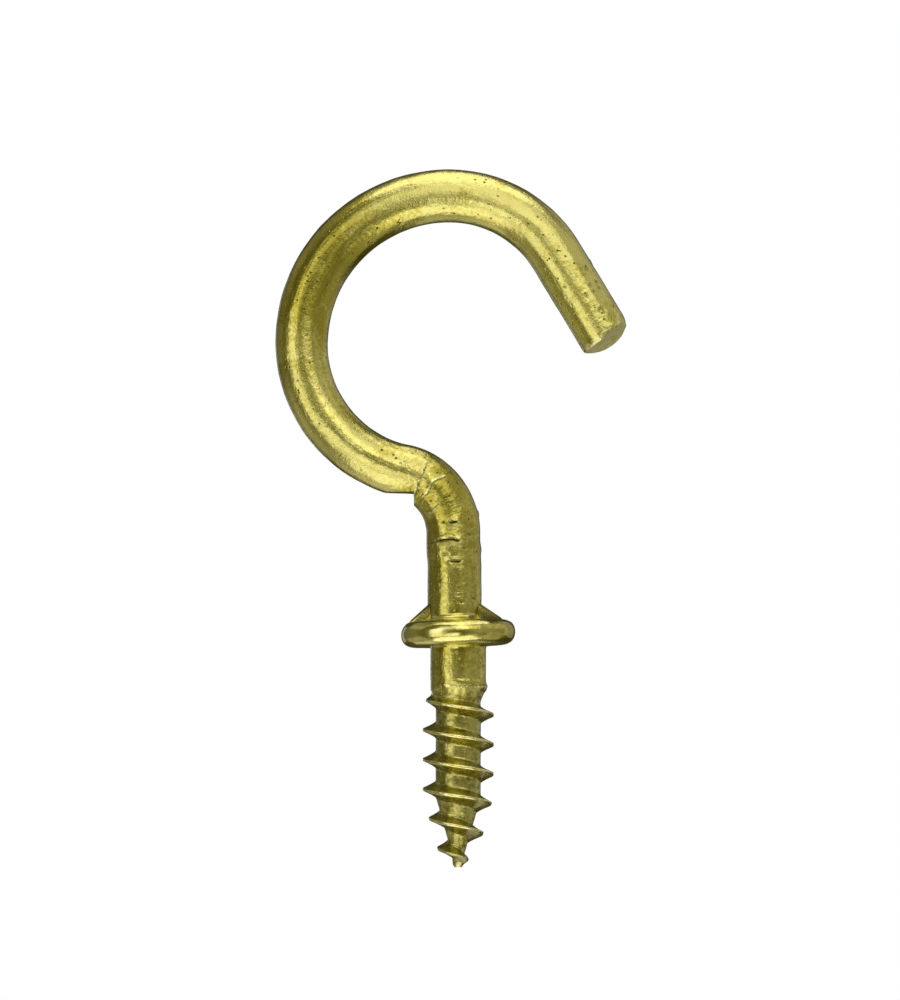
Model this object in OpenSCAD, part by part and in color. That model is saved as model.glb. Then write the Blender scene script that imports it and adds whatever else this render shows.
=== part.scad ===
// Shouldered cup hook, bent and forged from one length of brass wire.
// The origin is the middle of the collar's seat. The screw runs down along -Z, and the bow
// stands above the seat in the XZ plane, with its open end to the right.

/* [Wire] */
// Diameter of the drawn wire in the back, the crown and the end of the bow
wire_d = 3.5; // [3.45:0.01:3.54]
// Diameter of the heel, which the bending has stretched thinner
heel_d = 3.4; // [3.2:0.01:3.44]
// Diameter of the neck and the upper shank, which the dies have squeezed thicker
neck_d = 3.55; // [3.46:0.01:3.7]

/* [Bow] */
// Bend radius of the heel, from the neck to the bow's widest point, to the wire's centre
heel_r = 8.66; // [7.6:0.02:9.6]
// Bend radius of the back, from the widest point to the top, to the wire's centre
back_r = 9.74; // [8.6:0.02:10.8]
// Bend radius of the crown, from the top to the straight end, to the wire's centre
crown_r = 8.26; // [7.2:0.02:9.2]
// Dip of the straight end below level
end_dip = 59; // [45:1:75]
// Length of the straight end
end_len = 6.3; // [4:0.1:8]
// Slope of the cut end away from square
end_slope = 18; // [0:1:25]

/* [Neck] */
// Height above the seat at which the neck starts to bend
neck_h = 7.4; // [6:0.1:9]
// Bend radius of the neck, to the wire's centre
neck_r = 4.24; // [3.6:0.02:5]
// Angle that the neck turns through
neck_turn = 77; // [70:1:84]
// Sideways step of the neck from the screw's axis
neck_step = 0.32; // [0:0.02:0.5]
// Depth of the square nip that the bending die leaves inside the neck
nip_depth = 0.7; // [0.3:0.05:0.9]
// Direction of the nip from the neck's bend centre, above level
nip_angle = 59; // [50:1:68]

/* [Collar] */
// Diameter of the upset collar
collar_d = 7.5; // [6.8:0.1:8.5]
// Thickness of the collar, which has a full round edge
collar_t = 1.65; // [1.3:0.05:2]
// Distance from the collar's edge in to the two webs that the forging dies leave beside the neck
web_inset = 0.7; // [0.6:0.05:1]
// Height of the webs above the collar
web_h = 1; // [0.7:0.05:1.3]
// Thickness of the webs
web_t = 1.6; // [1.2:0.1:2.2]
// Reach of the sloped root around the neck, where it meets the collar
root_w = 0.3; // [0.2:0.05:0.45]

/* [Screw] */
// Length of the screw below the seat
screw_len = 14.5; // [13:0.1:17]
// Diameter of the plain shank under the collar
shank_d = 3.65; // [3.4:0.05:4]
// Length of the plain shank under the collar
shank_len = 2.2; // [2.1:0.05:3]
// Outer diameter of the thread
thread_d = 4.65; // [4.3:0.05:5]
// Diameter at the root of the thread
core_d = 2.95; // [2.6:0.05:3.2]
// Pitch of the thread
pitch = 1.95; // [1.7:0.05:2.2]
// Length of the tapered point
point_len = 4.6; // [3.6:0.1:5.6]
// Diameter of the blunt tip
tip_d = 0.76; // [0.5:0.02:1]
// Hand of the thread
thread_hand = "left"; // [left, right]

/* [Hidden] */
$fn = 64;

brass = [0.78, 0.70, 0.30];

// Sink of one form into the next, so that they fuse without slivers
sink = 0.3;
// Share of the web's slope that runs on inside the neck
web_run_on = 0.5;

// Length by which a thinner stretch of wire runs on into a thicker one
lap = 0.1;
// Wall by which a straight length is thinner than the bend that it runs on into
skin = 0.01;

// Centre of the neck's bend
neck_c = [-neck_step - neck_r, neck_h];
// Centre of the heel's bend, on the line through the place where the two bends meet
heel_c = neck_c + (neck_r + heel_r) * unit(neck_turn);
// Corner of the die that pressed the nip into the inside of the neck
nip_corner = neck_c + (neck_r - neck_d / 2 + nip_depth) * unit(nip_angle);

// Thread form: place along one pitch and share of the full height, from root to root
thread_form = [[0, 0], [0.21, 0], [0.36, 0.48], [0.46, 1], [0.54, 1], [0.64, 0.48], [0.79, 0]];
// Facets in one turn of the thread
turn_steps = 40;
// Step by which the threaded body starts inside the plain shank
thread_gap = 0.08;
// First crest below the plain shank, in pitches
lead_in = 0.19;
// Start and end of the root's first dip below the first crest, in pitches
dip_start = 0.15;
dip_end = 0.55;
// Length of the even tip below the tapered root, and of its bare end below the ridge
tip_len = 0.8;
bare_len = 0.35;

first_crest = -shank_len - lead_in * pitch;
helix_top = first_crest + 1.5 * pitch;
turns = ceil((helix_top + screw_len) / pitch);
tip_r = tip_d / 2;
start_r = shank_d / 2 - thread_gap;

// Unit vector in the plane of the bow
function unit(angle) = [cos(angle), sin(angle)];

// Radius of the thread's root at a height
function root_r(z) = lookup(z, [
    [-screw_len + tip_len, tip_r],
    [-screw_len + point_len, core_d / 2],
    [first_crest - dip_end * pitch, core_d / 2],
    [first_crest - dip_start * pitch, start_r]]);

// Radius of the thread's crest at a height
function crest_r(z) = lookup(z, [
    [-screw_len + bare_len, tip_r],
    [-screw_len + tip_len, tip_r + (thread_d - core_d) / 2],
    [-screw_len + point_len, thread_d / 2],
    [first_crest - pitch, thread_d / 2],
    [-shank_len, start_r]]);

// One point of the threaded surface: a step along the helix and a place on the thread form
function thread_point(step, form) =
    let (turn = step / turn_steps,
         z = helix_top - (turn + form[0]) * pitch,
         r = root_r(z) + form[1] * (crest_r(z) - root_r(z)))
    [r * cos(360 * turn), r * sin(360 * turn), z];

// A bend of the wire in the plane of the bow, from one angle to another about its centre
module bend(radius, d, from, to)
    rotate([90, 0, 0])
        rotate_extrude(angle = to - from, start = from)
            translate([radius, 0])
                circle(d = d);

// Upper shank and neck
module neck() {
    translate([-neck_step, 0, collar_t - sink])
        cylinder(d = neck_d - 2 * skin, h = sink + neck_h - collar_t + lap);
    translate([neck_c.x, 0, neck_c.y])
        bend(neck_r, neck_d, 0, neck_turn);
}

// Bow from the neck to the open end, each bend placed from the centre of the one before
module bow() {
    lap_turn = lap / heel_r * 180 / PI;
    translate([heel_c.x, 0, heel_c.y]) {
        bend(heel_r, heel_d, 180 - lap_turn, 180 + neck_turn + lap_turn);
        translate([back_r - heel_r, 0, 0]) {
            bend(back_r, wire_d, 90, 180);
            translate([0, 0, back_r - crown_r]) {
                bend(crown_r, wire_d, 90 - end_dip, 90);
                rotate([0, end_dip, 0])
                    translate([0, 0, crown_r])
                        rotate([0, 90, 0])
                            straight_end();
            }
        }
    }
}

// Straight end of the bow, sheared off on a slope that faces the front
module straight_end()
    difference() {
        translate([0, 0, -lap])
            cylinder(d = wire_d - 2 * skin, h = lap + end_len + wire_d);
        translate([0, 0, end_len])
            rotate([end_slope, 0, 0])
                translate([-wire_d, -wire_d, 0])
                    cube(2 * wire_d);
    }

// Square corner of the bending die, which pressed into the inside of the neck
module die_corner()
    translate([nip_corner.x - wire_d, -wire_d, nip_corner.y - wire_d])
        cube([wire_d, 2 * wire_d, wire_d]);

// Upset collar with a flat seat and a full round edge
module collar()
    rotate_extrude() {
        square([(collar_d - collar_t) / 2, collar_t]);
        translate([(collar_d - collar_t) / 2, 0])
            intersection() {
                translate([0, collar_t / 2])
                    circle(d = collar_t);
                square([collar_t, collar_t]);
            }
    }

// Sloped root of the neck and the two side webs on top of the collar
module collar_root() {
    web_r = collar_d / 2 - web_inset;
    slope = (web_r - neck_d / 2) / web_h;
    foot = web_r + sink * slope;
    head = neck_d / 2 * (1 - web_run_on);
    head_h = web_h + neck_d / 2 * web_run_on / slope;
    side = [
        [-foot, -sink],
        [foot, -sink],
        [head - neck_step, head_h],
        [-head - neck_step, head_h]];
    translate([0, web_t / 2, collar_t])
        rotate([90, 0, 0])
            linear_extrude(web_t)
                polygon(side);
    translate([-neck_step, 0, collar_t - sink])
        cylinder(r1 = neck_d / 2 + root_w + sink, r2 = neck_d / 2 - sink, h = root_w + 2 * sink);
}

// Threaded length, from inside the plain shank to the tip
module thread() {
    forms = len(thread_form);
    steps = turns * turn_steps;
    top = (steps + 1) * forms;
    bottom = top + 1;
    points = [
        for (step = [0 : steps], form = thread_form) thread_point(step, form),
        [0, 0, helix_top - pitch / 2],
        [0, 0, helix_top - (turns + 1) * pitch]];
    // A place past the end of the thread form is the start of the form one turn on
    function at(step, form) =
        form < forms ? step * forms + form
        : step + turn_steps > steps ? bottom
        : (step + turn_steps) * forms;
    faces = [
        for (step = [0 : steps - 1], form = [0 : forms - 1])
            let (a = at(step, form),
                 b = at(step + 1, form),
                 c = at(step + 1, form + 1),
                 d = at(step, form + 1))
            c == d ? [a, b, c] : [a, b, c, d],
        for (step = [0 : turn_steps - 1]) [top, at(step + 1, 0), at(step, 0)],
        for (form = [0 : forms - 1]) [top, at(0, form), at(0, form + 1)],
        for (form = [0 : forms - 2]) [bottom, at(steps, form + 1), at(steps, form)]];
    intersection() {
        mirror([0, thread_hand == "right" ? 1 : 0, 0])
            polyhedron(points, faces);
        translate([-thread_d, -thread_d, -screw_len])
            cube([2 * thread_d, 2 * thread_d, screw_len - shank_len + sink]);
    }
}

// Plain shank and threaded length below the seat
module screw() {
    translate([0, 0, -shank_len])
        cylinder(d = shank_d, h = shank_len + sink);
    thread();
}

module cup_hook()
    color(brass) {
        difference() {
            union() {
                bow();
                neck();
            }
            die_corner();
        }
        collar();
        collar_root();
        screw();
    }

cup_hook();
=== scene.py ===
# %% [markdown]
# # A brass cup hook
# The hook is one length of brass wire. A machine bends the bow, squeezes a collar out of the wire
# and rolls a wood-screw thread on the rest. It is modelled from the screw upwards here: one ring of
# points is raised into the collar, bent into the bow and closed at its end. The thread is wound on
# below, and last come the marks that the tools left.

# %% Load the frame
import math

import bmesh
import bpy
import numpy as np
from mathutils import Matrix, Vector
from mathutils.kdtree import KDTree


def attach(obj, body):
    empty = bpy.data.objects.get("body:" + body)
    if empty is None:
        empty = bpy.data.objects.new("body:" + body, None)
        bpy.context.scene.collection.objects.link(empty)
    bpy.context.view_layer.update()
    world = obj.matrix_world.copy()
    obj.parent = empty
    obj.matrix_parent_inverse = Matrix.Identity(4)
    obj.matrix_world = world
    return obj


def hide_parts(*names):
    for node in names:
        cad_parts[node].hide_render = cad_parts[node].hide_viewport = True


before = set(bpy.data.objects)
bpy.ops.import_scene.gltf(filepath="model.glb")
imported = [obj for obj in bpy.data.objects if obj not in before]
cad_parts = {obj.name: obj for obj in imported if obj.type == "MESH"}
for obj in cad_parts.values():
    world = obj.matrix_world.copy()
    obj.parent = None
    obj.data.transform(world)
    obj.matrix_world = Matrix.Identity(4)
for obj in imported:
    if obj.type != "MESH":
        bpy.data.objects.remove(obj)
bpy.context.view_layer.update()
mm = 0.001

# %% [markdown]
# ## Camera
# The picture was taken from the front with a long lens, a little below the middle of the hook, so
# the underside of the collar just shows. A long lens far away keeps the bow a true circle.

# %% Camera
camera_distance = 400 * mm
camera_drop = math.radians(3.5)
picture_height = 65.79 * mm
sensor = 36
aim = Vector((-0.54, 0, 9.61)) * mm

bpy.ops.object.select_all(action="DESELECT")
bpy.ops.object.camera_add(
    location=aim - camera_distance * Vector((0, math.cos(camera_drop), math.sin(camera_drop))),
    rotation=(math.radians(90) + camera_drop, 0, 0),
)
camera = bpy.context.object
camera.name = "camera"
camera.data.sensor_width = sensor
camera.data.lens = sensor * camera_distance / picture_height
camera.data.clip_start = 0.01
camera.data.dof.use_dof = False
bpy.context.scene.camera = camera
bpy.context.scene.view_settings.view_transform = "Standard"
print("lens", round(camera.data.lens, 1), "mm")

# %% [markdown]
# ## Floor and light
# Polished metal shows its surroundings more than its own colour. Large soft boxes give the broad
# bright bands along the wire, and the dim room between them gives the dark lines at its edges. One
# small box close to the hook lights only a part of the bow. The light is a little blue, which makes
# the highlights on the yellow metal paler. The camera itself sees a white room behind the hook.

# %% Floor
floor_drop = 40 * mm
floor_r = 280 * mm

bpy.ops.object.select_all(action="DESELECT")
bpy.ops.mesh.primitive_circle_add(
    vertices=96, radius=floor_r, fill_type="NGON", location=(0, 0, -floor_drop)
)
floor = bpy.context.object
floor.name = "floor"
floor_paint = bpy.data.materials.new("pale floor")
floor_paint.use_nodes = True
floor_shader = floor_paint.node_tree.nodes["Principled BSDF"]
# The lamps are a little blue, and the warm paint makes the floor look neutral
floor_shader.inputs["Base Color"].default_value = (0.9, 0.91, 0.71, 1)
floor_shader.inputs["Roughness"].default_value = 0.8
floor.data.materials.append(floor_paint)
# The soft boxes below the floor shine through it, and the brass doesn't mirror it
floor.visible_glossy = False
floor.visible_shadow = False
print("floor", round(floor_drop / mm), "mm below the seat of the collar")

# %% Room
front_tone = 0.15
back_tone = 0.06

room = bpy.data.worlds.new("room")
bpy.context.scene.world = room
room.use_nodes = True
room_nodes = room.node_tree.nodes
room_links = room.node_tree.links
backdrop = room_nodes["Background"]
backdrop.inputs["Color"].default_value = (1, 1, 1, 1)
backdrop.inputs["Strength"].default_value = 1
# The room that the brass mirrors is dim, and darker behind the hook than behind the camera
direction = room_nodes.new("ShaderNodeTexCoord")
depth_of = room_nodes.new("ShaderNodeSeparateXYZ")
tone = room_nodes.new("ShaderNodeMapRange")
tone.inputs["From Min"].default_value = -0.6
tone.inputs["From Max"].default_value = 0.7
tone.inputs["To Min"].default_value = front_tone
tone.inputs["To Max"].default_value = back_tone
dim_room = room_nodes.new("ShaderNodeBackground")
dim_room.inputs["Color"].default_value = (1, 0.96, 0.30, 1)
light_path = room_nodes.new("ShaderNodeLightPath")
seen_directly = room_nodes.new("ShaderNodeMixShader")
room_links.new(direction.outputs["Generated"], depth_of.inputs["Vector"])
room_links.new(depth_of.outputs["Y"], tone.inputs["Value"])
room_links.new(tone.outputs["Result"], dim_room.inputs["Strength"])
room_links.new(light_path.outputs["Is Camera Ray"], seen_directly.inputs["Fac"])
room_links.new(dim_room.outputs["Background"], seen_directly.inputs[1])
room_links.new(backdrop.outputs["Background"], seen_directly.inputs[2])
room_links.new(seen_directly.outputs["Shader"], room_nodes["World Output"].inputs["Surface"])
print("room of tone", front_tone, "in front and", back_tone, "behind")

# %% Soft boxes
light_centre = Vector((0, 0, 9)) * mm


def soft_box(name, around, off_axis, width, height, brightness, distance=0.5):
    """A soft box seen from the hook, off the camera's axis by an angle and round it by another."""
    around = math.radians(around)
    off_axis = math.radians(off_axis)
    towards = Vector((
        math.sin(off_axis) * math.cos(around),
        -math.cos(off_axis),
        math.sin(off_axis) * math.sin(around),
    ))
    bpy.ops.object.light_add(type="AREA", location=light_centre + distance * towards)
    lamp = bpy.context.object
    lamp.name = name
    lamp.rotation_euler = towards.to_track_quat("Z", "Y").to_euler()
    lamp.data.shape = "RECTANGLE"
    lamp.data.color = (1.02, 1, 1.3)
    lamp.data.size = width
    lamp.data.size_y = height
    lamp.data.energy = brightness * math.pi * width * height
    lamp.visible_camera = False
    print(name, "gives", round(lamp.data.energy, 2), "W")


# Each box: angle round the axis, angle off it, width, height, brightness, and distance if it is near
soft_box("left box", 184, 44, 0.27, 0.50, 1.25)
soft_box("upper left box", 130, 38, 0.26, 0.24, 0.85)
soft_box("top box", 86, 86, 0.55, 0.53, 1.6)
soft_box("upper box", 66, 38, 0.44, 0.34, 1.0)
soft_box("low box", 268, 64, 0.66, 0.48, 1.4)
soft_box("front box", 240, 24, 0.22, 0.20, 1.5)
soft_box("near box", 68, 25, 0.034, 0.026, 0.75, 0.066)
soft_box("right box", 16, 70, 1.10, 0.55, 0.22)
soft_box("far right box", 15, 128, 0.40, 0.60, 0.35)
soft_box("far low box", 262, 118, 0.50, 0.40, 0.45)
soft_box("edge box", 178, 152, 0.10, 0.30, 0.6)
soft_box("far left box", 180, 112, 0.45, 0.80, 0.12)
soft_box("far lower left box", 222, 104, 0.50, 0.45, 0.20)
soft_box("far upper left box", 132, 106, 0.45, 0.40, 0.22)
soft_box("lower right box", 312, 44, 0.24, 0.24, 0.35)
soft_box("far lower right box", 325, 88, 0.45, 0.45, 0.35)
soft_box("upper right box", 31, 84, 0.36, 0.36, 0.26)

# %% [markdown]
# ## Shank, collar and neck foot
# The collar is upset: the wire is gripped and hammered endwise until it swells into a round bead
# with a flat seat. A circle at the top of the screw is extruded upwards and resized step by step,
# round the bead and in to the neck, so that one ring flow runs on from the shank to the bow.

# %% Sizes of the wire, shank and collar
wire_d = 3.5
neck_d = 3.55
heel_d = 3.4
shank_d = 3.65
shank_x = -0.32
shank_end = -2.0
collar_r = 3.75
collar_t = 1.65
bead_r = collar_t / 2
bead_c = (collar_r - bead_r, bead_r)
bead_flat = 0.92
ring_points = 128


def on_circle(centre, radius, degrees):
    angle = math.radians(degrees)
    return (centre[0] + radius * math.cos(angle), centre[1] + radius * math.sin(angle))


def on_bead(degrees):
    """A point of the bead's edge, which the dies left a little flatter in the middle than a circle."""
    across = math.cos(math.radians(degrees))
    up = math.sin(math.radians(degrees))
    return (
        bead_c[0] + bead_r * math.copysign(abs(across) ** bead_flat, across),
        bead_c[1] + bead_r * math.copysign(abs(up) ** bead_flat, up),
    )


# Radius and height of each ring above the first one
rings = [(shank_d / 2, z) for z in np.arange(shank_end + 0.125, -0.2, 0.125)]
rings += [(shank_d / 2, -0.12), (shank_d / 2 + 0.05, -0.03), (shank_d / 2 + 0.16, 0)]
rings += [(shank_d / 2 + 0.5, 0)]
rings += [on_bead(angle) for angle in range(-90, 106, 6)]
# The groove and the fillet at the foot of the neck: out from the neck, and up from the collar
neck_foot = [(0.55, -0.06), (0.45, -0.10), (0.37, -0.06), (0.33, 0.03), (0.28, 0.09)]
neck_foot += [(0.20, 0.13), (0.11, 0.20), (0.04, 0.30), (0, 0.42)]
rings += [(neck_d / 2 + out, collar_t + up) for out, up in neck_foot]
print("collar", 2 * collar_r, "mm across and", collar_t, "mm thick")

# %% Raise the collar
bpy.ops.object.select_all(action="DESELECT")
bpy.ops.mesh.primitive_circle_add(
    vertices=ring_points, radius=shank_d / 2 * mm, location=(0, 0, shank_end * mm)
)
hook = bpy.context.object
hook.name = "brass_hook"
bpy.ops.object.transform_apply(location=True, rotation=True, scale=True)
bpy.ops.object.mode_set(mode="EDIT")
bpy.ops.mesh.select_mode(type="VERT")
bpy.ops.mesh.select_all(action="SELECT")


def extrude_by(x, y, z):
    bpy.ops.mesh.extrude_region_move(
        TRANSFORM_OT_translate={"value": (x * mm, y * mm, z * mm)}
    )


ring_r = shank_d / 2
ring_x = 0
ring_z = shank_end
for radius, z in rings:
    # The neck stands a little to one side of the screw, so the rings step across under it
    x = shank_x * min(1, max(0, (z - collar_t + 0.2) / 0.6))
    extrude_by(x - ring_x, 0, z - ring_z)
    bpy.ops.transform.resize(
        value=(radius / ring_r, radius / ring_r, 1), center_override=(x * mm, 0, z * mm)
    )
    ring_r = radius
    ring_x = x
    ring_z = z
print("shank and collar:", len(rings), "rings")

# %% [markdown]
# ## Neck and bow
# The wire is bent in one plane over dies. The open ring is extruded up the neck and then spun round
# the centre of each bend in turn, so every ring stays square to the wire. The rings are close,
# because small tool marks are pressed into them later.

# %% Bends
neck_h = 7.4
end_len = 6.3
rim_r = 0.14
end_dip = 59
neck_turn = 77
neck_bend = 4.24
heel_bend = 8.66
back_bend = 9.74
crown_bend = 8.26
neck_c = (shank_x - neck_bend, neck_h)
heel_c = on_circle(neck_c, neck_bend + heel_bend, neck_turn)
back_c = (heel_c[0] + back_bend - heel_bend, heel_c[1])
crown_c = (back_c[0], back_c[1] + back_bend - crown_bend)
# Each bend: its centre, its radius, and the angles where it starts and ends
bends = [
    (neck_c, neck_bend, 0, neck_turn),
    (heel_c, heel_bend, 180 + neck_turn, 180),
    (back_c, back_bend, 180, 90),
    (crown_c, crown_bend, 90, 90 - end_dip),
]
end_start = on_circle(crown_c, crown_bend, 90 - end_dip)
end_way = (math.cos(math.radians(end_dip)), -math.sin(math.radians(end_dip)))
print("straight end starts at", [round(c, 2) for c in end_start])

# %% Bend the wire
neck_step = 0.06
bow_step = 0.18
cut_step = 0.13

rise = neck_h - ring_z
neck_rings = round(rise / neck_step)
bpy.ops.mesh.extrude_repeat(steps=neck_rings, offset=(0, 0, rise / neck_rings * mm))
for centre, radius, start, stop in bends:
    step = neck_step if centre == neck_c else bow_step
    bpy.ops.mesh.spin(
        steps=round(abs(math.radians(stop - start)) * radius / step),
        angle=math.radians(stop - start),
        center=(centre[0] * mm, 0, centre[1] * mm),
        axis=(0, 1, 0),
    )
end_rings = round((end_len - rim_r) / cut_step)
end_step = (end_len - rim_r) / end_rings * mm
bpy.ops.mesh.extrude_repeat(
    steps=end_rings, offset=(end_way[0] * end_step, 0, end_way[1] * end_step)
)
print("wire:", len(bmesh.from_edit_mesh(hook.data).verts), "points")

# %% Close the cut end
# Each step: how far the ring shrinks towards the middle, and how far it moves on along the wire
cap_steps = [
    (1 - rim_r / wire_d * 2 * (1 - math.cos(math.radians(a))), rim_r * math.sin(math.radians(a)))
    for a in (15, 30, 45, 60, 75, 90)
]
cap_steps += [(share, rim_r) for share in (0.82, 0.7, 0.58, 0.46, 0.34, 0.22, 0.1)]
end_way_3d = Vector((end_way[0], 0, end_way[1]))
end_middle = Vector((end_start[0], 0, end_start[1])) + (end_len - rim_r) * end_way_3d
ring_share = 1
ring_on = 0
for share, on in cap_steps:
    extrude_by(end_way[0] * (on - ring_on), 0, end_way[1] * (on - ring_on))
    bpy.ops.transform.resize(
        value=(share / ring_share,) * 3,
        center_override=(end_middle + on * end_way_3d) * mm,
    )
    ring_share = share
    ring_on = on
bpy.ops.mesh.merge(type="CENTER")
bpy.ops.object.mode_set(mode="OBJECT")
print("end closed in", len(cap_steps), "rings")

# %% [markdown]
# ## Thickness along the wire
# Bending stretches the wire, so it is a little thinner in the heel than in the neck. A fine line of
# points along the middle of the wire tells how far along it a place lies, and each ring is drawn in
# towards that line. The finish uses the same line later.

# %% Centreline


def bend_points(centre, radius, start, stop):
    count = round(abs(math.radians(stop - start)) * radius / 0.05)
    return [on_circle(centre, radius, a) for a in np.linspace(start, stop, count)[1:]]


line = [(shank_x, z) for z in np.arange(-0.2, neck_h + 0.01, 0.05)]
for bend in bends:
    line += bend_points(*bend)
line += [
    (end_start[0] + end_way[0] * t, end_start[1] + end_way[1] * t)
    for t in np.arange(0.05, end_len + 1, 0.05)
]
line = np.array(line)
along = np.concatenate([[0], np.cumsum(np.hypot(*np.diff(line, axis=0).T))])
tree = KDTree(len(line))
for index, (x, z) in enumerate(line):
    tree.insert((x, 0, z), index)
tree.balance()


def length_at(place):
    """Length along the wire at a place on its centreline."""
    return along[tree.find((place[0], 0, place[1]))[1]]


def nearest_rows(places):
    """For each place, the row of the centreline that lies nearest."""
    return np.array([tree.find((x, 0, z))[1] for x, y, z in places])


def read_points(piece):
    """The points of a piece in millimetres."""
    points = np.empty(3 * len(piece.data.vertices), np.float32)
    piece.data.vertices.foreach_get("co", points)
    return points.reshape(-1, 3).astype(float) / mm


def write_points(piece, points):
    piece.data.vertices.foreach_set("co", (points * mm).astype(np.float32).ravel())
    piece.data.update()


print("bow ends", round(along[-1], 1), "mm along the wire")

# %% Ease the thickness
neck_end = length_at(on_circle(neck_c, neck_bend, neck_turn))
heel_end = length_at(on_circle(heel_c, heel_bend, 180))

points = read_points(hook)
wire = points[:, 2] > collar_t + 0.4
rows = nearest_rows(points[wire])
thickness = np.interp(
    along[rows],
    [0, neck_end - 1, neck_end + 2, heel_end - 4, heel_end + 3],
    [neck_d, neck_d, heel_d, heel_d, wire_d],
)
middle = np.stack([line[rows, 0], np.zeros(len(rows)), line[rows, 1]], axis=1)
points[wire] = middle + (points[wire] - middle) * (thickness / neck_d)[:, None]
write_points(hook, points)
print("wire eased from", neck_d, "to", heel_d, "and", wire_d, "mm")

# %% [markdown]
# ## Thread
# A wood-screw thread is one ridge wound down a tapering core. The Screw modifier winds a single
# tooth down the shank, one pitch a turn. The tooth is drawn one millimetre high, and each point is
# then moved to the radius that the tapering core and crest have at its own depth.

# %% Draw one tooth
pitch = 1.95
first_crest = -2.2 - 0.19 * pitch
thread_top = first_crest + 1.5 * pitch
turns = 8
base_r = 3.0
crest_half = 0.035
ridge_half = 0.29


def ridge_height(place):
    """Share of the full height at a place along one pitch, with hollow flanks."""
    off = abs(place - 0.5)
    if off < crest_half:
        return 1.0
    return max(0.0, (ridge_half - off) / (ridge_half - crest_half)) ** 1.45


places = [0, 0.08, 0.15, 0.21, 0.25, 0.29, 0.33, 0.37, 0.41, 0.44, 0.465]
places += [0.5] + [1 - p for p in reversed(places)]
bpy.ops.object.select_all(action="DESELECT")
bpy.ops.mesh.primitive_plane_add(size=mm, location=(base_r * mm, 0, thread_top * mm))
thread = bpy.context.object
thread.name = "thread"
bpy.ops.object.transform_apply(location=True, rotation=True, scale=True)
bpy.ops.object.mode_set(mode="EDIT")
bpy.ops.mesh.select_all(action="SELECT")
bpy.ops.mesh.merge(type="CENTER")
for before, after in zip(places, places[1:]):
    extrude_by(ridge_height(after) - ridge_height(before), 0, (before - after) * pitch)
bpy.ops.object.mode_set(mode="OBJECT")
print("tooth drawn with", len(places), "points")

# %% Wind the ridge
winding = thread.modifiers.new("winding", "SCREW")
winding.axis = "Z"
winding.angle = math.radians(360)
winding.screw_offset = -pitch * mm
winding.iterations = turns
winding.steps = ring_points
winding.render_steps = ring_points
winding.use_merge_vertices = False
bpy.ops.object.modifier_apply(modifier=winding.name)
bpy.ops.object.mode_set(mode="EDIT")
bpy.ops.mesh.select_all(action="SELECT")
bpy.ops.mesh.remove_doubles(threshold=0.002 * mm)
bpy.ops.object.mode_set(mode="OBJECT")

points = read_points(thread)
depth = points[:, 2]
height = np.hypot(points[:, 0], points[:, 1]) - base_r

# Height and radius down the crest and down the root, from the blunt point to the plain shank
crest_profile = [(-14.6, 0.16), (-14.3, 0.37), (-13.75, 1.24), (-9.9, 2.325), (-4.5, 2.325)]
crest_profile += [(-2.2, shank_d / 2)]
root_profile = [(-14.6, 0.16), (-14.35, 0.36), (-13.7, 0.40), (-9.9, 1.475), (-3.64, 1.475)]
root_profile += [(-2.86, shank_d / 2 - 0.02), (-2.2, shank_d / 2)]


def crest_at(depth):
    """Radius of the thread's crest at a height."""
    return np.interp(depth, *np.transpose(crest_profile))


root = np.interp(depth, *np.transpose(root_profile))
reach = root + height * (crest_at(depth) - root)
points[:, :2] *= (reach / np.hypot(points[:, 0], points[:, 1]))[:, None]
write_points(thread, points)
print("thread:", len(points), "points in", turns, "turns")

# %% Trim the thread and join it to the shank
tip_z = -14.5
thread_gap = 0.08

bpy.ops.object.mode_set(mode="EDIT")
bpy.ops.mesh.select_all(action="SELECT")
bpy.ops.mesh.bisect(
    plane_co=(0, 0, (shank_end - thread_gap) * mm),
    plane_no=(0, 0, 1),
    clear_outer=True,
    threshold=0.0001 * mm,
)
bpy.ops.mesh.select_all(action="SELECT")
bpy.ops.mesh.bisect(
    plane_co=(0, 0, tip_z * mm),
    plane_no=(0, 0, 1),
    clear_inner=True,
    use_fill=True,
    threshold=0.0001 * mm,
)
bpy.ops.object.mode_set(mode="OBJECT")
bpy.ops.object.select_all(action="DESELECT")
thread.select_set(True)
hook.select_set(True)
bpy.context.view_layer.objects.active = hook
bpy.ops.object.join()
bpy.ops.object.mode_set(mode="EDIT")


def select_where(piece, wanted):
    """Select the points whose place, in millimetres, passes a test."""
    bpy.ops.mesh.select_all(action="DESELECT")
    cage = bmesh.from_edit_mesh(piece.data)
    for point in cage.verts:
        point.select = wanted(point.co / mm)
    cage.select_flush(True)
    bmesh.update_edit_mesh(piece.data)


# A band of faces closes the gap between the thread and the shank
select_where(hook, lambda p: -thread_gap - 0.001 < p.z - shank_end < 0.001)
bpy.ops.mesh.bridge_edge_loops()
bpy.ops.object.mode_set(mode="OBJECT")
print("thread joined:", len(hook.data.vertices), "points")

# %% [markdown]
# ## Sheared end
# The wire was sheared off, and the cut face looks a little to the front. The shear left a step in
# its front edge. Each point of the straight end slides along the wire, more and more towards the
# cut, which keeps the rings in order. The face and its rubbed rim are kept as attributes.

# %% Slope the cut end
rear_reach = 0.5
step_back = 0.22
corner_back = 0.3
corner_tuck = 0.16


def ease(value, low, high):
    """0 below low, 1 above high, and smooth between them."""
    share = np.clip((value - low) / (high - low), 0, 1)
    return share * share * (3 - 2 * share)


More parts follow.
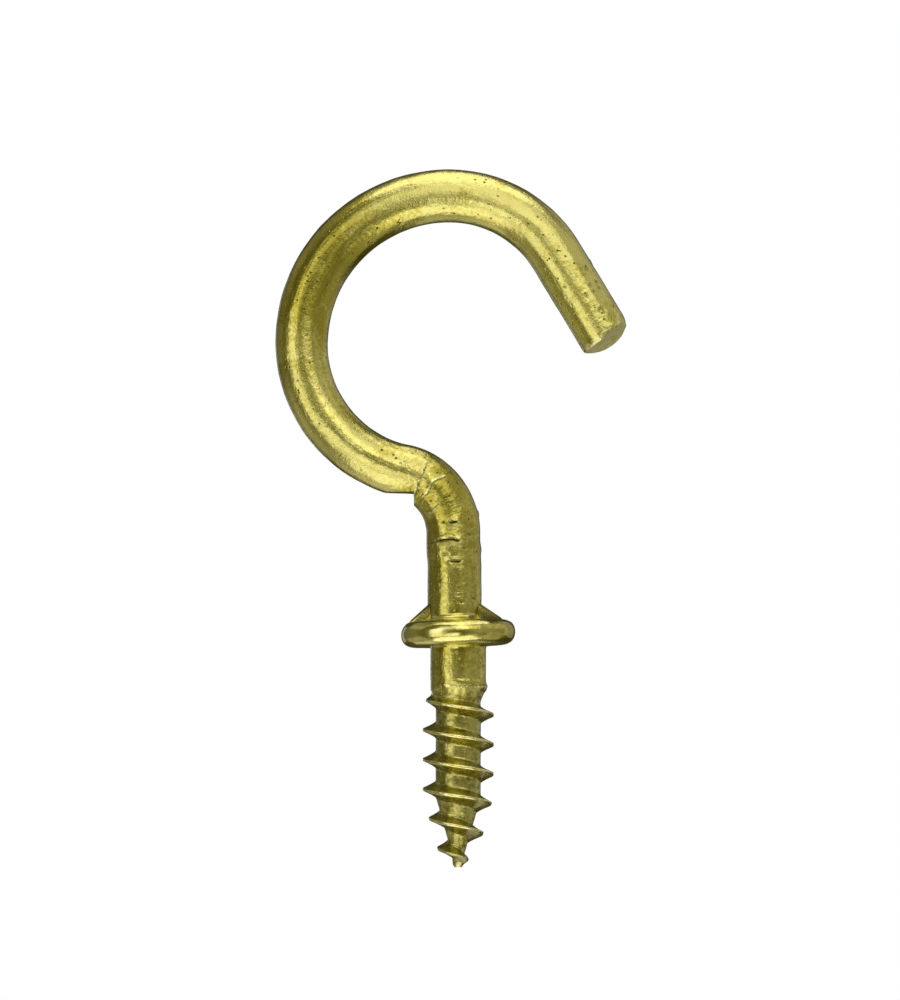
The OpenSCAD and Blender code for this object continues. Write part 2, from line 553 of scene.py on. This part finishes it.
points = read_points(hook)
from_start = points[:, [0, 2]] - end_start
on = from_start @ end_way
out = from_start @ (-end_way[1], end_way[0])
end_points = (on > 0) & (np.abs(out) < 2) & (points[:, 0] > 0) & (points[:, 2] > 15)
front = np.clip(-points[:, 1] / 1.4, 0, 1)
rear = np.clip(points[:, 1] / 1.75, 0, 1)
slide = rear_reach * rear ** 2
slide -= front * (0.02 + step_back * ease(out, -0.5, 0) + corner_back * ease(out, 0.9, 1.7))
slide += 0.1 - 0.03 * out
slide *= np.clip(on / end_len, 0, 1) ** 2
# The outer corner is knocked round
tuck = -corner_tuck * ease(on, end_len - 0.9, end_len) ** 2 * ease(out, 0.9, 1.75)
across = np.array((-end_way[1], end_way[0]))
move = slide[:, None] * end_way + tuck[:, None] * across
points[end_points, 0] += move[end_points, 0]
points[end_points, 2] += move[end_points, 1]
write_points(hook, points)


def keep(name, values):
    """Keep one number for each point of the hook."""
    record = hook.data.attributes.get(name) or hook.data.attributes.new(name, "FLOAT", "POINT")
    record.data.foreach_set("value", values.astype(np.float32))


def kept(name):
    """The numbers that were kept under a name."""
    values = np.empty(len(hook.data.vertices), np.float32)
    hook.data.attributes[name].data.foreach_get("value", values)
    return values.astype(float)


keep("cut", end_points * ease(on, end_len - 0.6 * rim_r, end_len))
keep("wear_and_highlight", end_points * np.clip(1 - np.abs(on - end_len + rim_r) / 0.15, 0, 1))
print("cut end reaches", round(float((on + slide)[end_points].max()), 2), "mm")

# %% [markdown]
# ## Faces outwards
# Spinning and winding can leave faces that look inwards, and a Boolean has to know on which side the
# brass is. The skin is closed now, so one operator can turn all its faces the right way.

# %% Turn the faces outwards
bpy.ops.object.mode_set(mode="EDIT")
bpy.ops.mesh.select_all(action="SELECT")
bpy.ops.mesh.normals_make_consistent(inside=False)
bpy.ops.object.mode_set(mode="OBJECT")
print("faces turned outwards:", len(hook.data.polygons))

# %% [markdown]
# ## Webs beside the neck
# The two halves of the forging die leave a flat triangular web on each side of the neck, in the
# plane of the bow. Each is a cube with its outer top edge pulled down, its edges bevelled, and then
# joined to the hook with a Boolean union, so that the brass stays one closed skin.

# %% Shape the webs
web_t = 1.6
web_top = 2.72
web_foot = 1.3
web_edge = 0.2


def web(name, inside, neck_side, outside):
    """A wedge from inside the neck to the collar, sloped from the neck's side to its outer end."""
    bpy.ops.object.select_all(action="DESELECT")
    bpy.ops.mesh.primitive_cube_add(size=mm, location=(0, 0, 0))
    piece = bpy.context.object
    piece.name = name
    bpy.ops.object.mode_set(mode="EDIT")
    bpy.ops.mesh.select_all(action="SELECT")
    bpy.ops.transform.resize(value=(abs(outside - inside), web_t, web_top - web_foot))
    bpy.ops.transform.translate(
        value=((inside + outside) / 2 * mm, 0, (web_top + web_foot) / 2 * mm)
    )
    slope = (web_top - collar_t) / abs(outside - neck_side)
    select_where(piece, lambda p: p.z > 2 and abs(p.x - outside) < 0.01)
    bpy.ops.transform.translate(value=(0, 0, (collar_t + 0.02 - web_top) * mm))
    select_where(piece, lambda p: p.z > 2 and abs(p.x - inside) < 0.01)
    bpy.ops.transform.translate(value=(0, 0, slope * abs(neck_side - inside) * mm))
    bpy.ops.mesh.select_all(action="SELECT")
    bpy.ops.mesh.bevel(offset=web_edge * mm, segments=3, affect="EDGES")
    bpy.ops.object.mode_set(mode="OBJECT")
    return piece


left_web = web("left_web", -1.2, -2.05, -3.22)
right_web = web("right_web", 0.6, 1.42, 2.92)
print("webs", web_t, "mm thick, up to", web_top, "mm above the seat")

# %% Join the webs


def combine(name, operation, piece):
    """Join a piece to the hook or cut it out of the hook, and remove the piece."""
    bpy.context.view_layer.objects.active = hook
    change = hook.modifiers.new(name, "BOOLEAN")
    change.operation = operation
    change.solver = "EXACT"
    change.object = piece
    bpy.ops.object.modifier_apply(modifier=change.name)
    bpy.data.objects.remove(piece)


combine("web", "UNION", left_web)
combine("web", "UNION", right_web)
print("webs joined:", len(hook.data.vertices), "points")

# %% [markdown]
# ## Notch inside the neck
# The bending die had a square corner, which bit into the inside of the neck and left a notch with
# two flat sides. A cube in the place of the die is taken away with a Boolean difference, which keeps
# the corner and the edges of the notch sharp.

# %% Notch inside the neck
die_x = -2.91
die_z = 10.1
die_side = 2.5

bpy.ops.object.select_all(action="DESELECT")
bpy.ops.mesh.primitive_cube_add(
    size=die_side * mm,
    location=((die_x - die_side / 2) * mm, 0, (die_z - die_side / 2) * mm),
    scale=(1, 2, 1),
)
combine("notch", "DIFFERENCE", bpy.context.object)
print("notch cut:", len(hook.data.vertices), "points")

# %% [markdown]
# ## Askew collar
# The collar was not upset quite square: its left side sits lower. The points outside the neck are
# tilted together, and the shank above moves a hair to the right, as the photograph shows.

# %% Set the collar askew
collar_tilt = math.radians(1.9)
shank_shift = 0.08

points = read_points(hook)
height = points[:, 2]
reach = np.hypot(points[:, 0], points[:, 1])
askew = ease(reach, 1.9, 2.4) * ease(height, -0.6, -0.2) * (1 - ease(height, 2.9, 3.2))
points[:, 2] += askew * points[:, 0] * math.tan(collar_tilt)
points[:, 0] += shank_shift * ease(height, 1.8, 2.8) * (1 - ease(height, 5.2, 6.6))
write_points(hook, points)
print("collar tilted by", round(math.degrees(collar_tilt), 1), "degrees")

# %% [markdown]
# ## Uneven skin
# Bent and hammered wire is never quite round. A Displace modifier with a soft cloud texture lifts
# and sinks the skin by a few hundredths of a millimetre, which breaks up the long reflections.

# %% Unevenness
skin_depth = 0.05
skin_patch = 1.4

skin_clouds = bpy.data.textures.new("skin clouds", "CLOUDS")
skin_clouds.noise_scale = skin_patch * mm
skin_clouds.noise_depth = 2
skin = hook.modifiers.new("skin", "DISPLACE")
skin.texture = skin_clouds
skin.texture_coords = "LOCAL"
skin.strength = skin_depth * mm
skin.mid_level = 0.5
bpy.context.view_layer.objects.active = hook
bpy.ops.object.modifier_apply(modifier=skin.name)
print("skin uneven by up to", skin_depth, "mm")

# %% [markdown]
# ## Folds, nicks and pits
# The front of the neck shows where the dies met: a fold up from the notch, a long fold beside it and
# a short one below. The gripper left three nicks with a few small dents round them, fainter
# marks on the back, and bruises that stand out of the outer side of the wire. They are real shapes
# here, so they catch the light from any side. The same pass notes the dirt and painted shade in the
# marks and the painted highlights on their lips, for the finish.

# %% Tools for pressing marks
points = read_points(hook)
normals = np.empty(3 * len(points), np.float32)
hook.data.vertices.foreach_get("normal", normals)
normals = normals.reshape(-1, 3).astype(float)
dirt_and_shade = np.zeros(len(points))
wear_and_highlight = kept("wear_and_highlight")
FRONT = -1
BACK = 1
FACING = 0.05
FAR_AWAY = 99.0


def from_path(path, face):
    """Distance of each point from a path on one face of the hook, and whether it lies above."""
    flat = points[:, [0, 2]]
    far = np.full(len(flat), FAR_AWAY)
    above = np.zeros(len(flat), bool)
    for start, stop in zip(np.array(path[:-1]), np.array(path[1:])):
        run = stop - start
        share = np.clip((flat - start) @ run / (run @ run), 0, 1)
        off = flat - start - share[:, None] * run
        distance = np.hypot(*off.T)
        closer = distance < far
        far[closer] = distance[closer]
        above[closer] = off[closer, 1] > 0
    far[normals[:, 1] * face < FACING] = FAR_AWAY
    return far, above


def press(path, width, depth, lip=0.0, dirt_and_shade_amount=1.0, face=FRONT, lip_above=True):
    """Press a groove along a path, with a lip that is raised along its upper or lower side. The groove
    is darkened with dirt and painted shade, and the lip's edge gets a painted highlight.
    """
    far, above = from_path(path, face)
    groove = np.exp(-(far / width) ** 2)
    if lip:
        on_lip = above == lip_above
        groove *= ~on_lip
        points[:] += normals * (lip * np.exp(-(far / width / 2.5) ** 2) * on_lip)[:, None]
        # The edge of the lip gets a painted highlight
        lip_highlight = np.exp(-((far - 0.05) / 0.09) ** 2) * on_lip * min(1, lip / 0.06)
        wear_and_highlight[:] = np.maximum(wear_and_highlight, lip_highlight)
    points[:] -= normals * (depth * groove)[:, None]
    # The groove is darkened with dirt and painted shade
    dirt_and_shade[:] = np.maximum(dirt_and_shade, dirt_and_shade_amount * groove)


def flatten(place, reach, lean, face=FRONT):
    """Hammer a small flat that leans to one side and up or down."""
    off = points[:, [0, 2]] - place
    far = np.hypot(*off.T)
    near = (far < reach) & (normals[:, 1] * face > FACING)
    level = points[near, 1][np.argmin(far[near])]
    flat = level - face * 0.02 + off[near] @ lean * -face
    share = np.clip((reach - far[near]) / 0.1, 0, 1)
    points[near, 1] += share * (flat - points[near, 1])


# %% Folds of the neck
notch_fold = [(-2.84, 9.96), (-2.71, 10.35), (-2.51, 10.81), (-2.25, 11.34), (-2.05, 11.93)]
long_fold = [(-0.86, 11.03), (-1.51, 10.78), (-1.67, 10.68), (-1.83, 10.24), (-2.11, 9.83)]
short_fold = [(-1.33, 9.20), (-1.55, 8.98), (-1.85, 8.78)]
flatten((-2.32, 10.48), 0.38, (-0.36, 0.05))
flatten((-1.76, 9.50), 0.42, (-0.36, 0.0))
press(notch_fold, 0.08, 0.04, 0.02, 0.35)
press(long_fold, 0.09, 0.04, 0.055, 0.4)
press(short_fold, 0.09, 0.04, 0.05, 0.5, lip_above=False)
press(notch_fold, 0.09, 0.05, 0.04, 0.4, face=BACK)
press([(-1.00, 10.90), (-1.55, 10.62), (-1.85, 10.05)], 0.09, 0.05, 0.05, 0.4, face=BACK)
print("folds pressed, rubbed points:", int(np.sum(wear_and_highlight > 0.3)))

# %% Nicks of the gripper


def nick(path, depth, lip):
    """A sharp groove under a raised lip, with a shallow hollow below it that is darkened with dirt and
    painted shade.
    """
    press([(x + 0.06, z - 0.22) for x, z in path], 0.22, 0.03, dirt_and_shade_amount=0.5)
    press(path, 0.12, depth, lip, 1.2)


nick([(-0.50, 8.08), (-0.12, 8.10)], 0.14, 0.07)
nick([(-1.22, 6.90), (-0.90, 6.94), (-0.51, 6.98), (0.00, 6.88)], 0.12, 0.08)
nick([(-0.43, 5.54), (0.07, 5.54)], 0.16, 0.05)
press([(-0.14, 3.30), (0.25, 3.34)], 0.06, 0.02, 0.02, 0.2)
press([(-1.75, 6.72), (-1.50, 6.80), (-1.25, 6.92)], 0.08, 0.04, dirt_and_shade_amount=0.8)
press([(-1.02, 5.94), (-0.70, 5.98)], 0.11, 0.06, dirt_and_shade_amount=0.7)
press([(-1.45, 5.10), (-1.32, 5.16)], 0.08, 0.04, dirt_and_shade_amount=0.8)
press([(-1.40, 4.20), (-1.28, 4.22)], 0.08, 0.04, dirt_and_shade_amount=0.7)
press([(-1.05, 8.02), (-0.86, 8.06)], 0.08, 0.04, dirt_and_shade_amount=0.7)
press([(-0.50, 7.60), (-0.20, 7.62), (0.10, 7.55)], 0.08, 0.06, 0.05, 0.6, face=BACK)
press([(-0.60, 5.10), (-0.10, 5.16)], 0.08, 0.06, 0.04, 0.6, face=BACK)
print("nicks pressed, dirty points:", int(np.sum(dirt_and_shade > 0.3)))

# %% Bruises of the outer side


def swell(place, reach, lift):
    """Raise a small bruise around a place on the skin."""
    far = np.linalg.norm(points - place, axis=1)
    points[:] += normals * (lift * np.exp(-(far / reach) ** 2))[:, None]


swell((1.30, 0, 8.75), 0.22, 0.07)
swell((1.47, 0, 6.40), 0.30, 0.07)
swell((8.73, 0, 25.38), 0.22, 0.05)

# %% Burr of the sheared end
press([(8.50, 19.72), (8.90, 19.92), (9.26, 20.10)], 0.07, 0.0, 0.06, 0.0)
press([(9.80, 20.84), (10.23, 21.07)], 0.06, 0.0, 0.04, 0.0)

# %% Start of the thread
run_out = [(-1.70, -2.78), (-1.03, -2.58), (-0.40, -2.64)]
run_out += [(0.30, -2.68), (1.00, -2.66), (1.75, -2.62)]
press(run_out, 0.07, 0.04, 0.05, 0.6, lip_above=False)

# %% Pits
pits = [(0.22, 2.81), (0.73, 7.26), (0.43, 6.35), (1.03, 3.06), (8.70, 23.63), (9.06, 23.97)]
pits += [(9.26, 23.54), (8.95, 23.22), (8.41, 24.82), (7.00, 23.52), (8.45, 22.89)]
for x, z in pits:
    press([(x - 0.03, z), (x + 0.03, z)], 0.08, 0.06)
ring_pit = [on_circle((9.43, 21.96), 0.15, a) for a in range(-30, 211, 15)]
press(ring_pit, 0.09, 0.06, dirt_and_shade_amount=0.7)
write_points(hook, points)
print("marks pressed, deepest grime", round(float(dirt_and_shade.max()), 2))

# %% [markdown]
# ## Painted highlights
# Highlights are painted on the bead of the collar along its high lines. No point moves here: each
# call only marks the points near a path, and the finish makes them paler and smoother.

# %% Painted highlights of the collar


def paint_highlight(path, width, amount):
    """Paint a highlight on the front of the skin along a path."""
    far = from_path(path, FRONT)[0]
    wear_and_highlight[:] = np.maximum(wear_and_highlight, amount * np.exp(-(far / width) ** 2))


paint_highlight([(1.45, 1.50), (2.50, 1.58)], 0.12, 0.8)
paint_highlight([(-2.25, 0.92), (-1.15, 0.96)], 0.20, 0.6)
paint_highlight([(-2.70, 0.30), (1.20, 0.26)], 0.12, 0.5)
print("rubbed points:", int(np.sum(wear_and_highlight > 0.3)))

# %% [markdown]
# ## Places along and around the wire
# Drawing the wire through a die leaves fine lines along it. A pattern that follows a bent wire needs
# to know, at each point, how far along the wire it is and how far round. Both are kept on the mesh
# as an attribute. So are the dirt with its painted shade, the worn rim with the painted highlights,
# and the tarnish with its painted shade, and the finish reads them all by name.

# %% Places along and around the wire
wire = points[:, 2] > collar_t + 0.4
rows = nearest_rows(points[wire])
away = points[wire][:, [0, 2]] - line[rows]
side = np.stack([-np.gradient(line[:, 1])[rows], np.gradient(line[:, 0])[rows]], axis=1)
side /= np.linalg.norm(side, axis=1)[:, None]
lay = np.stack([points[:, 2], points[:, 0], points[:, 1]], axis=1)
lay[wire, 0] = along[rows] - 0.2
lay[wire, 1] = np.sum(away * side, axis=1)
lay_record = hook.data.attributes.new("lay", "FLOAT_VECTOR", "POINT")
lay_record.data.foreach_set("vector", lay.astype(np.float32).ravel())
print("lay runs from", lay[:, 0].min().round(1), "to", lay[:, 0].max().round(1), "mm")

# %% Dirt, painted shade and painted highlights
screw_top = -2.9

# Painted shade darkens the roots of the thread. The webs are darker all over, and painted shade
# darkens their bevelled edges that face up and to the side
core = np.hypot(points[:, 0], points[:, 1])
screw = points[:, 2] < screw_top
dirt_and_shade[screw] = np.clip((1.72 - core[screw]) * 1.2, 0, 0.25)
# A highlight is painted along the crest
wear_and_highlight[screw] = 0.7 * ease(core[screw] - crest_at(points[screw, 2]), -0.2, -0.02)
beside_neck = (points[:, 0] < -1.7) | (points[:, 0] > 1.3)
webs = beside_neck & (np.abs(points[:, 1]) < 0.85) & (np.abs(points[:, 2] - 2.18) < 0.58)
# Painted shade on the web edges that would mirror the lamps
shaded_web_edge = ease(normals[webs, 2], 0.0, 0.15) * ease(np.abs(normals[webs, 1]), 0.2, 0.45)
dirt_and_shade[webs] = 0.25 + 0.95 * shaded_web_edge
# A highlight is painted on the left web where it meets the neck
highlighted_web = webs & (np.abs(points[:, 0] + 1.9) < 0.12) & (points[:, 2] < 2.4)
dirt_and_shade[highlighted_web] = 0
wear_and_highlight[highlighted_web] = 0.7
keep("dirt_and_shade", dirt_and_shade)
keep("wear_and_highlight", wear_and_highlight)
print("dirty points:", int(np.sum(dirt_and_shade > 0.3)))

# %% Tarnish and painted shade
# The shank, the neck and the left of the bow have dulled more than the heel and the crown.
# Each pair is a length along the wire and how dull it is there.
dulled = [(-4, 0.1), (-2.6, 0.4), (-0.2, 0.4), (0, 0.1), (1.6, 0.1), (2.2, 0.45), (3, 0.45)]
dulled += [(5, 0.35), (8.5, 0.5), (12, 0.3), (14, 0), (20, -0.1), (24, 0.2), (26.5, 0.55)]
dulled += [(31, 0.8), (34, 0.35), (37, -0.05), (46, -0.15), (51, -0.1), (53.5, 0.1)]
tarnish_and_shade_values = np.interp(lay[:, 0], *np.transpose(dulled))
# The outside of the neck's bend is painted duller than the flats beside it, as painted shade that dims
# its reflection
from_dimmed_bend = np.hypot(points[:, 0] + 0.55, points[:, 2] - 10.0)
tarnish_and_shade_values += 0.6 * np.exp(-(from_dimmed_bend / 1.0) ** 2)
keep("tarnish_and_shade", tarnish_and_shade_values)
print("tarnish from", tarnish_and_shade_values.min().round(2), "to", tarnish_and_shade_values.max().round(2))

# %% [markdown]
# ## Brass
# The finish is satin brass that has dulled: a warm yellow metal with browner clouds, fine lines from
# drawing, small dark pits, dirt and painted shade in the marks and roots, painted highlights on the
# high edges and a pale worn rim. It could be painted on an image, but noise and the kept attributes
# stay sharp at any distance. The maths is written as plain expressions, and each adds its own Math
# nodes through one small class.

# %% A socket that takes part in sums


class Socket:
    """An output socket of a node. Sums on it add Math nodes."""

    def __init__(self, tree, socket=None):
        self.tree = tree
        self.socket = socket

    def node(self, kind, settings=None, sockets=None, output=0):
        """Add any other node, with its settings and the values or links of its sockets."""
        made = self.tree.nodes.new(kind)
        for name, value in (settings or {}).items():
            setattr(made, name, value)
        for name, value in (sockets or {}).items():
            if isinstance(value, Socket):
                self.tree.links.new(value.socket, made.inputs[name])
            else:
                made.inputs[name].default_value = value
        return Socket(self.tree, made.outputs[output])

    def maths(self, operation, first, second):
        return self.node("ShaderNodeMath", {"operation": operation}, {0: first, 1: second})

    def __add__(self, other):
        return self.maths("ADD", self, other)

    def __radd__(self, other):
        return self.maths("ADD", other, self)

    def __sub__(self, other):
        return self.maths("SUBTRACT", self, other)

    def __rsub__(self, other):
        return self.maths("SUBTRACT", other, self)

    def __mul__(self, other):
        return self.maths("MULTIPLY", self, other)

    def __rmul__(self, other):
        return self.maths("MULTIPLY", other, self)

    def between(self, low, high):
        """0 below low, 1 above high, and smooth between them."""
        return self.node(
            "ShaderNodeMapRange",
            {"interpolation_type": "SMOOTHSTEP"},
            {"Value": self, "From Min": low, "From Max": high},
        )


# %% Patterns of the brass
brass = bpy.data.materials.new("dulled satin brass")
brass.use_nodes = True
nodes = brass.node_tree.nodes
graph = Socket(brass.node_tree)
shader = nodes["Principled BSDF"]
place = graph.node("ShaderNodeTexCoord", output="Object")
lay_place = graph.node("ShaderNodeAttribute", {"attribute_name": "lay"}, output="Vector")
dirt_and_shade_amount = graph.node("ShaderNodeAttribute", {"attribute_name": "dirt_and_shade"}, output="Fac")
wear_and_highlight_mask = graph.node("ShaderNodeAttribute", {"attribute_name": "wear_and_highlight"}, output="Fac")
sheared = graph.node("ShaderNodeAttribute", {"attribute_name": "cut"}, output="Fac")
tarnish_and_shade = graph.node("ShaderNodeAttribute", {"attribute_name": "tarnish_and_shade"}, output="Fac")


def noise(vector, scale, detail=2.0, roughness=0.5):
    """Noise whose patches are about 1 / scale across, in the unit of its vector."""
    return graph.node(
        "ShaderNodeTexNoise",
        sockets={"Vector": vector, "Scale": scale, "Detail": detail, "Roughness": roughness},
    )


lines_place = graph.node(
    "ShaderNodeVectorMath", {"operation": "MULTIPLY"}, {0: lay_place, 1: (0.35, 2.6, 2.6)}
)
drawn_lines = noise(lines_place, 1.0, 1.5, 0.5)
wrinkles_place = graph.node(
    "ShaderNodeVectorMath", {"operation": "MULTIPLY"}, {0: lay_place, 1: (2.0, 0.8, 0.8)}
)
wrinkles = noise(wrinkles_place, 1.0, 3.0, 0.6)
length = graph.node("ShaderNodeSeparateXYZ", sockets={"Vector": lay_place})
squeezed = 1 - length.between(11, 15)
crumpled = squeezed * length.between(6.5, 9)
rolled = 1 - length.between(-3.2, -2.4)
upset = length.between(-0.5, -0.2) * (1 - length.between(2.1, 2.6))
clouds = noise(place, 420, 3.0, 0.55)
mottle = noise(place, 2200, 3.0, 0.6)
blotches = noise(place, 1000, 3.0, 0.65)
grain = noise(place, 5000, 2.0, 0.6)

# %% Pits of the brass
# Space is divided into cells, and some of them hold a pit in their middle
cell_sockets = {"Vector": place, "Scale": 2400.0}
cells = graph.node("ShaderNodeTexVoronoi", {"feature": "F1"}, cell_sockets)
cell_place = graph.node("ShaderNodeTexVoronoi", {"feature": "F1"}, cell_sockets, "Position")
pit_pick = graph.node(
    "ShaderNodeTexWhiteNoise", {"noise_dimensions": "3D"}, {"Vector": cell_place}
)
pit = (1 - cells.between(0.10, 0.24)) * pit_pick.between(0.60, 0.62) * clouds.between(0.36, 0.58)
print("patterns made with", len(nodes), "nodes")

# %% Colour
bright_brass = (0.66, 0.605, 0.153, 1)
dull_brass = (0.44, 0.38, 0.044, 1)
# Dark brown for dirt and for painted shade
brown_dirt_and_shade = (0.095, 0.082, 0.022, 1)
# Pale brass for the worn rim and for the painted highlights
wear_and_highlight_brass = (0.92, 0.865, 0.37, 1)
sheared_brass = (0.71, 0.68, 0.34, 1)


def mix_colours(mask, first, second):
    """Mix two colours. Sockets 0, 6 and 7 are the factor and the colours, and output 2 the result."""
    return graph.node(
        "ShaderNodeMix", {"data_type": "RGBA"}, {0: mask, 6: first, 7: second}, output=2
    )


# Duller brass follows the clouds, lines, grain and tarnish, and painted shade dims the outside of the
# neck's bend
dullness = clouds.between(0.42, 0.68) * 0.5 + (mottle - 0.5) * 0.9 + (drawn_lines - 0.5) * 0.5
dullness = dullness + tarnish_and_shade + squeezed * (wrinkles - 0.5) * 0.8
dullness = dullness + rolled * (mottle - 0.5) * 1.4
dullness = dullness + (grain.between(0.35, 0.65) - 0.5) * (0.5 - upset * 0.4)
colour = mix_colours(dullness.between(0.0, 0.9), bright_brass, dull_brass)
colour = mix_colours(sheared * mottle.between(0.3, 0.65), colour, sheared_brass)
# Paler where the rim is worn and where highlights are painted
colour = mix_colours(wear_and_highlight_mask * mottle.between(0.36, 0.56), colour, wear_and_highlight_brass)
specks = mottle.between(0.50, 0.62) * 0.2 + blotches.between(0.50, 0.60) * 0.2
specks = specks + grain.between(0.52, 0.62) * 0.3
# Darker brown for dirt, for painted shade in grooves, roots and web edges, and for heavy tarnish
dirt_shade_and_tarnish = dirt_and_shade_amount + rolled * specks * (1 - wear_and_highlight_mask) + tarnish_and_shade.between(0.4, 1.0) * 0.3
colour = mix_colours(dirt_shade_and_tarnish * 0.85, colour, brown_dirt_and_shade)
colour = mix_colours(pit * 0.9, colour, brown_dirt_and_shade)
print("colour mixed with", len(nodes), "nodes")

# %% Gloss and relief
bump_height = 0.06 * mm

gloss = 0.265 + (mottle - 0.5) * 0.16 + (drawn_lines - 0.5) * 0.10 + dirt_and_shade_amount * 0.2 + pit * 0.25
gloss = gloss + sheared * 0.35 + (grain - 0.5) * 0.12 - upset * 0.05
gloss = gloss + crumpled * 0.02 - wear_and_highlight_mask * 0.05
relief = (grain - 0.5) * 0.28 + (mottle - 0.5) * 0.3 + (drawn_lines - 0.5) * 0.5 - pit * 1.0
relief = relief + (squeezed * 0.4 + crumpled * 0.9) * (wrinkles - 0.5)
relief = relief * (1 - upset * 0.7) * (1 - wear_and_highlight_mask * 0.8)
bumps = graph.node(
    "ShaderNodeBump", sockets={"Strength": 1.0, "Distance": bump_height, "Height": relief}
)
shader.inputs["Metallic"].default_value = 1
links = brass.node_tree.links
links.new(colour.socket, shader.inputs["Base Color"])
links.new(gloss.socket, shader.inputs["Roughness"])
links.new(bumps.socket, shader.inputs["Normal"])
hook.data.materials.clear()
hook.data.materials.append(brass)
print("brass has", len(nodes), "nodes")

# %% [markdown]
# ## Stand for the solid
# Faces that meet at a small angle are shaded smooth, and the edges of the notch stay sharp. The
# rolled thread is smooth all over. The piece takes the place of the imported solid and moves with its
# body.

# %% Shade the hook
sharp_angle = 40

bpy.ops.object.select_all(action="DESELECT")
hook.select_set(True)
bpy.context.view_layer.objects.active = hook
bpy.ops.object.shade_smooth_by_angle(angle=math.radians(sharp_angle))
# The rolled thread has no sharp edges
bpy.ops.object.mode_set(mode="EDIT")
select_where(hook, lambda p: tip_z + 0.2 < p.z < screw_top)
bpy.ops.mesh.mark_sharp(clear=True)
bpy.ops.object.mode_set(mode="OBJECT")
print("smooth faces:", sum(face.use_smooth for face in hook.data.polygons))

# %% Stand for the solid and finish
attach(hook, "root")
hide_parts("cup_hook")
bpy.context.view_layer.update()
cage = bmesh.new()
cage.from_mesh(hook.data)
print("open edges:", sum(not e.is_manifold for e in cage.edges), "faces:", len(cage.faces))
cage.free()
